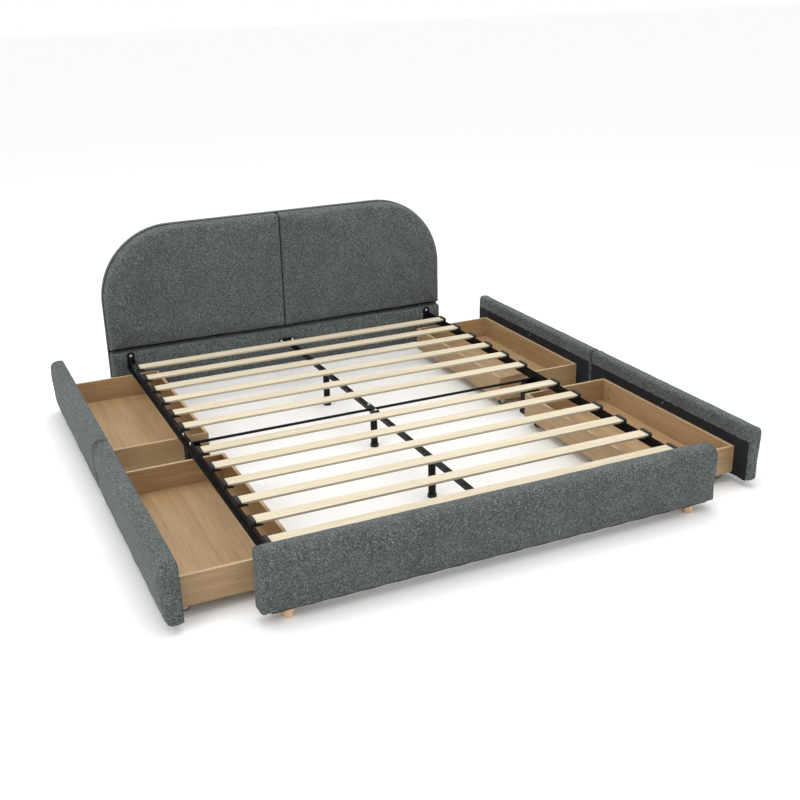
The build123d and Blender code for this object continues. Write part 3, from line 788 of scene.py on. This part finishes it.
def slat_cap_model(depth, width, shelf_length, height, skirt, lip):
    """Moulded holder for a slat's end, for the +X side: the slat comes in from -X to x = 0.

    Its seat is at z = 0 on the top edge of the rail; a skirt hangs outside the rail."""
    web_inner = depth - CAP_SKIRT_THICKNESS - STEEL
    body = block("cap_body", (0, -width / 2, 0), (depth, width / 2, height))
    bevel_edges(body, lambda e: runs_along(e, 0) and middle(e).z > height / 2, 0.0085, 5)
    bevel_edges(body, lambda e: middle(e).x > depth - 1e-4 and middle(e).z > 1e-4
                and not runs_along(e, 0), 0.0030, 3)
    bevel_edges(body, lambda e: middle(e).x < 1e-4 and middle(e).z > height * 0.6
                and not runs_along(e, 0), 0.0012, 2)
    skirt_piece = block("cap_skirt", (depth - CAP_SKIRT_THICKNESS, -CAP_SKIRT_WIDTH / 2, -skirt),
                        (depth, CAP_SKIRT_WIDTH / 2, 0.0005))
    pick(skirt_piece, "VERT", lambda v: v.co.z < -skirt + 1e-4)
    bpy.ops.transform.resize(value=(1, 0.84, 1), center_override=(0, 0, 0))
    done()
    bevel_edges(skirt_piece, lambda e: middle(e).x > depth - 1e-4 and middle(e).z < -1e-4, 0.0012, 2)
    shelf = block("cap_shelf", (-shelf_length, -width / 2, -CAP_SHELF), (web_inner, width / 2, 0))
    bevel_edges(shelf, lambda e: middle(e).z < -CAP_SHELF + 1e-4
                and middle(e).x < web_inner - 1e-4, 0.0015, 2)
    parts = [body, skirt_piece, shelf]
    for side in (-1, 1):
        wall = block("cap_lip", (-CAP_LIP[0], side * (width / 2 - lip), 0),
                     (0.002, side * width / 2, CAP_LIP[1]))
        pick(wall, "VERT", lambda v: v.co.x < -CAP_LIP[0] + 1e-4 and v.co.z > CAP_LIP[1] - 1e-4)
        bpy.ops.transform.translate(value=(0.004, 0, -CAP_LIP[1] * 0.45))
        done()
        bevel_edges(wall, lambda e: middle(e).z > 1e-4, 0.0009, 2)
        parts.append(wall)
    for place in (0.28, 0.72):
        rib = block("cap_rib", (depth - 0.0042, width * (place - 0.5) - 0.0012, -skirt * 0.7),
                    (depth + 0.0008, width * (place - 0.5) + 0.0012, height * 0.55))
        bevel_edges(rib, lambda e: middle(e).x > depth, 0.0004, 2)
        parts.append(rib)
    piece = joined(parts, "slat_cap_model")
    smooth(piece, 35)
    return piece


def slat_caps():
    """A cap at each end of each slat."""
    slat_low, slat_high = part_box("slats")
    slats = solids("slats")
    width = slats[0][1].y - slats[0][0].y
    caps = solids("slat_caps")
    low, high = caps[-1]
    seat = slat_low.z
    model = slat_cap_model(high.x - slat_high.x, high.y - low.y, slat_high.x - low.x,
                           high.z - seat + CAP_RISE, seat - low.z, (high.y - low.y - width) / 2)
    counts = {-1: 0, 1: 0}
    for low, high in caps:
        side = 1 if low.x > 0 else -1
        counts[side] += 1
        place = Matrix.Translation((side * slat_high.x, (low.y + high.y) / 2, seat))
        flip = Matrix.Scale(side, 4, (1, 0, 0))
        name = f"slat_cap_{'right' if side > 0 else 'left'}_{counts[side]}"
        piece = twin(model, name, place @ flip)
        replaced = ("slat_caps",) if side < 0 and counts[side] == 1 else ()
        finish_piece(piece, "bed_frame", black_plastic, replaced)
    discard(model)


def wooden_feet():
    """Turned feet with a rounded tread."""
    places = solids("wooden_feet")
    low, high = places[0]
    top_radius = (high.x - low.x) / 2
    tall = high.z - low.z
    model = rod("foot_model", top_radius - 0.0025, tall, (0, 0, tall / 2), 48, top_radius=top_radius)
    bevel_edges(model, lambda e: middle(e).z < 1e-4 and e.calc_length() < 0.01, 0.0022, 3)
    smooth(model, 40)
    for number, (low, high) in enumerate(places, 1):
        centre = (low + high) / 2
        piece = twin(model, f"wooden_foot_{number}", Matrix.Translation((centre.x, centre.y, low.z)))
        replaced = ("wooden_feet",) if number == 1 else ()
        finish_piece(piece, "bed_frame", foot_wood, replaced)
    discard(model)


def screw_model():
    """Flat screw head with a cross recess, seated on z = 0."""
    head = rod("screw_model", SCREW_RADIUS, 0.0010, (0, 0, 0.0004), 20)
    bevel_edges(head, lambda e: middle(e).z > 0.0008 and e.calc_length() < 0.002, 0.0005, 2)
    for turn in (0, math.pi / 2):
        driver = block("driver", (-0.0019, -0.00045, 0.0004), (0.0019, 0.00045, 0.002))
        driver.rotation_euler.z = turn
        use(driver)
        settle()
        modify(head, "BOOLEAN", object=driver, operation="DIFFERENCE", solver="EXACT")
        discard(driver)
    smooth(head, 35)
    return head


def drawer_screws():
    """Screws through each box front into its padded front, and one tack in each lining."""
    model = screw_model()
    for name in DRAWERS:
        side = drawer_side(name)
        body = "drawer_" + name
        low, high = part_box(body + "_box_front")
        face_x = low.x if side > 0 else high.x
        turn = Matrix.Rotation(-side * math.pi / 2, 4, "Y")
        heads = []
        for end_y, inward in ((low.y, 1), (high.y, -1)):
            for share in SCREW_HEIGHTS:
                spot = (face_x, end_y + inward * SCREW_INSET, low.z + share * (high.z - low.z))
                heads.append(twin(model, "screw", Matrix.Translation(spot) @ turn))
        screws = joined(heads, body + "_screws")
        finish_piece(screws, body, black_steel)
        low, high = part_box(body + "_lining")
        lining_x = low.x if side > 0 else high.x
        spot = (lining_x, (low.y + high.y) / 2, high.z - TACK_DROP)
        tack = twin(model, body + "_tack", Matrix.Translation(spot) @ turn @ Matrix.Scale(1.1, 4))
        finish_piece(tack, body, zinc)
    discard(model)


# ---------------------------------------------------------------- CAD pieces that stay
def dress_node(node, material, rounding=None):
    """Give a CAD node its finish, and soften its sharp edges."""
    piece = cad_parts[node]
    piece.data.materials.clear()
    piece.data.materials.append(material)
    for face in piece.data.polygons:
        face.material_index = 0
    if rounding:
        weld = piece.modifiers.new("Weld", "WELD")
        weld.merge_threshold = 0.00002
        edge = piece.modifiers.new("Bevel", "BEVEL")
        edge.width = rounding
        edge.segments = 2
        edge.limit_method = "ANGLE"
        edge.angle_limit = math.radians(40)


def two_tone_wheels(node):
    """Black tyre with a pale hub: faces near the axle take the second material."""
    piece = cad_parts[node]
    low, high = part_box(node)
    axle = Vector(((low.x + high.x) / 2, 0, (low.z + high.z) / 2))
    piece.data.materials.append(nylon)
    for face in piece.data.polygons:
        spot = face.center - axle
        if math.hypot(spot.x, spot.z) < HUB_RADIUS:
            face.material_index = 1


def dress_frame():
    """Finishes of every CAD node that stays."""
    for node in ("rails_head", "rails_foot", "joint_plates", "centre_beams", "cross_tubes", "rail_legs",
                 "frame_brackets"):
        dress_node(node, black_steel, STEEL_EDGE)
    dress_node("centre_legs", black_steel)
    dress_node("leg_caps", black_plastic)
    dress_node("slats", slat_wood)
    # black nonwoven on the board: partly the dust cloth over its face, partly painted shade so the gaps
    # between the cushions and the lower panel read dark
    dress_node("headboard_board", lining_cloth, STEEL_EDGE)
    dress_node("footboard_core", plywood)
    for name in DRAWERS:
        body = "drawer_" + name
        dress_node(body + "_front_core", plywood)
        dress_node(body + "_box_front", print_along_bed, BOARD_EDGE)
        dress_node(body + "_box_back", print_along_bed, BOARD_EDGE)
        dress_node(body + "_box_sides", print_across_bed, BOARD_EDGE)
        dress_node(body + "_box_bottom", print_along_floor)
        dress_node(body + "_casters", caster_steel, CASTER_EDGE)
        for row in ("front", "back"):
            dress_node(f"{body}_wheels_{row}", tyre)
            two_tone_wheels(f"{body}_wheels_{row}")


# ---------------------------------------------------------------- floor, light and camera
def studio():
    """White floor, even light from a large overhead panel and two soft sides."""
    bpy.ops.object.select_all(action="DESELECT")
    bpy.ops.mesh.primitive_plane_add(size=80, location=(0, 0, -0.0002))
    floor = bpy.context.object
    floor.name = "studio_floor"
    settle()
    paper, _, shader = new_material("floor_paper", 0.9, specular=0.1)
    shader.inputs["Base Color"].default_value = (0.96, 0.96, 0.96, 1)
    floor.data.materials.append(paper)

    world = bpy.data.worlds.new("studio_world")
    bpy.context.scene.world = world
    world.use_nodes = True
    background = world.node_tree.nodes["Background"]
    background.inputs["Color"].default_value = (1, 1, 1, 1)
    background.inputs["Strength"].default_value = 1.0

    for name, place, size, power in (
            ("overhead_panel", (0.2, 0.3, 4.2), 4.5, 95.0),
            ("left_panel", (-4.6, -2.6, 2.9), 2.8, 55.0),
            ("right_panel", (4.4, -3.4, 2.6), 2.8, 15.0)):
        bpy.ops.object.light_add(type="AREA", location=place)
        lamp = bpy.context.object
        lamp.name = name
        lamp.data.shape = "DISK"
        lamp.data.size = size
        lamp.data.energy = power
        lamp.rotation_euler = (Vector((0, 0, 0.2)) - Vector(place)).to_track_quat("-Z", "Y").to_euler()


def camera():
    """Camera at eye height off the foot of the bed, to its left."""
    bpy.ops.object.camera_add()
    eye = bpy.context.object
    eye.name = "view_camera"
    yaw, pitch, roll = (math.radians(a) for a in (24.133, 21.096, -1.455))
    turn = (Matrix.Rotation(-yaw, 4, "Z") @ Matrix.Rotation(math.pi / 2 - pitch, 4, "X")
            @ Matrix.Rotation(roll, 4, "Z"))
    eye.matrix_world = Matrix.Translation((-1.6147, -3.7961, 1.7899)) @ turn
    eye.data.sensor_width = 36
    eye.data.lens = 49.38
    eye.data.shift_x = 0.0114
    eye.data.shift_y = -0.0018
    eye.data.clip_end = 200
    eye.data.dof.use_dof = False
    bpy.context.scene.camera = eye


# ---------------------------------------------------------------- the whole bed
bpy.context.scene.view_settings.view_transform = "Standard"
bpy.ops.object.select_all(action="DESELECT")
stitch_model = make_stitch()
headboard()
footboard()
drawer_fronts()
discard(stitch_model)
bolts()
slat_caps()
wooden_feet()
drawer_screws()
dress_frame()
studio()
camera()
